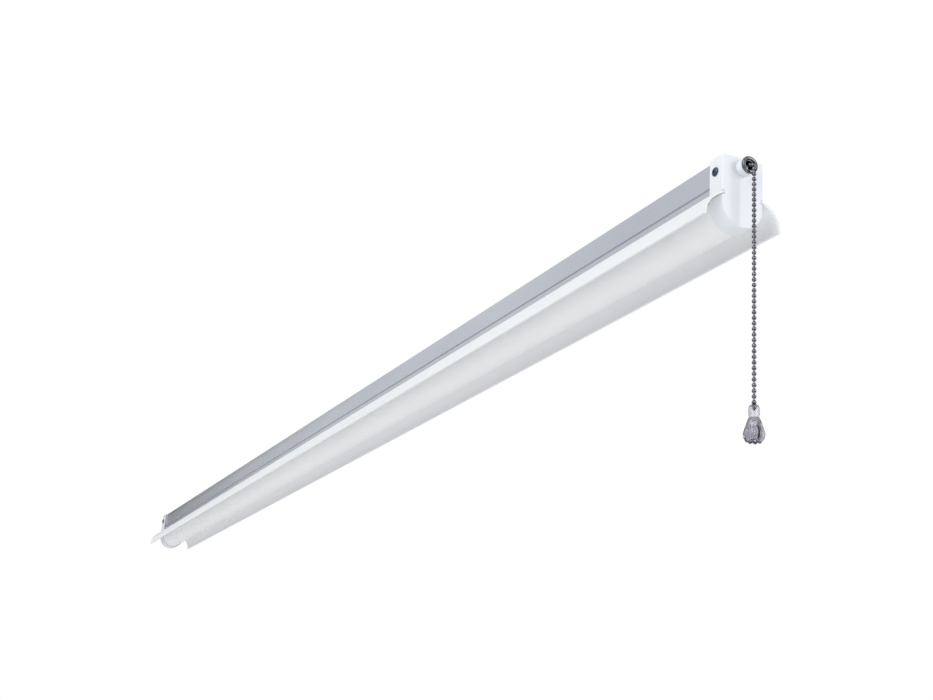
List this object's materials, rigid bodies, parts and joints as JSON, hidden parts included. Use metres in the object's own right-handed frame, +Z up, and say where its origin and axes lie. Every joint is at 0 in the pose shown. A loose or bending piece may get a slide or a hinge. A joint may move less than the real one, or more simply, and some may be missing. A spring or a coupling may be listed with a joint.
{
  "type": "hanging shop light",
  "caption": "Slim linear LED shop light: aluminium channel, frosted U lens, swept reflector wings, moulded end caps and a ball-chain pull switch in one end.",
  "frame": {"origin": "middle of the channel's top face, which is the centre of the two ceiling screw holes", "axes": "+X along the lamp towards the pull-switch end, +Z up out of the top face, +Y across"},
  "size_m": [1.2168, 0.049, 0.1599],
  "materials": {
    "brushed_aluminium": "brushed satin",
    "aluminium_sheet": "mill",
    "frosted_lens": "frosted translucent",
    "wing_plastic": "white satin",
    "white_moulding": "moulded",
    "screw_steel": "dark plated",
    "black_rubber": "matt",
    "brass": "satin",
    "dark_nickel": "polished dark nickel",
    "circuit_board": "satin",
    "dark_component": "satin",
    "led_board_white": "white solder mask",
    "led_phosphor": "satin",
    "clear_acrylic": "polished clear"
  },
  "bodies": {
    "fixture": {"housing": "brushed_aluminium", "led_tray": "aluminium_sheet", "diffuser_lens": "frosted_lens", "reflector_wing_right": "wing_plastic", "reflector_wing_left": "wing_plastic", "end_cap_switch": "white_moulding", "end_cap_blank": "white_moulding", "end_cap_screws_near": "screw_steel", "end_cap_screws_far": "screw_steel", "cord_grommet": "black_rubber", "switch_case": "white_moulding", "switch_cover": "white_moulding", "switch_axle": "screw_steel", "switch_contacts": "brass", "switch_locknut": "screw_steel", "switch_ring_nut": "white_moulding", "bell_mouth": "dark_nickel", "driver_case": "aluminium_sheet", "driver_cover": "aluminium_sheet", "driver_board": "circuit_board", "driver_parts": "dark_component", "terminal_block": "white_moulding", "terminal_screws": "brass", "led_board_1": "led_board_white", "led_board_2": "led_board_white", "led_board_3": "led_board_white", "led_chips_1": "led_phosphor", "led_chips_2": "led_phosphor", "led_chips_3": "led_phosphor"},
    "chain_stem": {"chain_stem": "dark_nickel"},
    "chain_lead": {"chain_lead": "dark_nickel"},
    "chain_bead_throat": {"chain_bead_throat": "dark_nickel"},
    "chain_bead_turn_in": {"chain_bead_turn_in": "dark_nickel"},
    "chain_bead_turn_out": {"chain_bead_turn_out": "dark_nickel"},
    "switch_drum": {"switch_drum": "white_moulding"},
    "chain_pivot": {"chain_pivot": "dark_nickel"},
    "chain_upper": {"chain_upper": "dark_nickel"},
    "chain_link": {"chain_link": "dark_nickel"},
    "chain_lower": {"chain_lower": "dark_nickel"},
    "pull_knob": {"pull_knob": "clear_acrylic"}
  },
  "joints": [
    {"name": "pull_travel", "type": "slide", "parent": "fixture", "child": "chain_stem", "axis": [0, 0, -1], "range_m": [0, 0.006], "stiffness_N_per_m": 400, "springref_m": -0.01},
    {"name": "lead_travel", "type": "slide", "parent": "fixture", "child": "chain_lead", "axis": [1, 0, 0], "range_m": [0, 0.006]},
    {"name": "throat_travel", "type": "slide", "parent": "fixture", "child": "chain_bead_throat", "axis": [0.9813, 0, -0.1926], "range_m": [0, 0.00581]},
    {"name": "turn_in_travel", "type": "slide", "parent": "fixture", "child": "chain_bead_turn_in", "axis": [0.7071, 0, -0.7071], "range_m": [0, 0.0054]},
    {"name": "turn_out_travel", "type": "slide", "parent": "fixture", "child": "chain_bead_turn_out", "axis": [0.1926, 0, -0.9813], "range_m": [0, 0.00581]},
    {"name": "drum_turn", "type": "hinge", "parent": "fixture", "child": "switch_drum", "pos_m": [0.58495, 0, -0.00875], "axis": [0, 1, 0], "range_deg": [0, 91.77]},
    {"name": "swing_sideways", "type": "hinge", "parent": "chain_stem", "child": "chain_pivot", "pos_m": [0.60977, 0, -0.01332], "axis": [1, 0, 0], "range_deg": [-50, 50]},
    {"name": "swing_outward", "type": "hinge", "parent": "chain_pivot", "child": "chain_upper", "pos_m": [0.60977, 0, -0.01632], "axis": [0, -1, 0], "range_deg": [-12, 60]},
    {"name": "bend_sideways", "type": "hinge", "parent": "chain_upper", "child": "chain_link", "pos_m": [0.60977, 0, -0.07332], "axis": [1, 0, 0], "range_deg": [-45, 45]},
    {"name": "bend_outward", "type": "hinge", "parent": "chain_link", "child": "chain_lower", "pos_m": [0.60977, 0, -0.07632], "axis": [0, -1, 0], "range_deg": [-45, 45]},
    {"name": "knob_spin", "type": "hinge", "parent": "chain_lower", "child": "pull_knob", "pos_m": [0.60977, 0, -0.14082], "axis": [0, 0, 1], "continuous": true}
  ],
  "couplings": [
    {"joint": "lead_travel", "follows": "pull_travel", "ratio": 1},
    {"joint": "throat_travel", "follows": "pull_travel", "ratio": 0.96828},
    {"joint": "turn_in_travel", "follows": "pull_travel", "ratio": 0.90032},
    {"joint": "turn_out_travel", "follows": "pull_travel", "ratio": 0.96828},
    {"joint": "drum_turn", "follows": "pull_travel", "rad_per_m": 266.67}
  ]
}
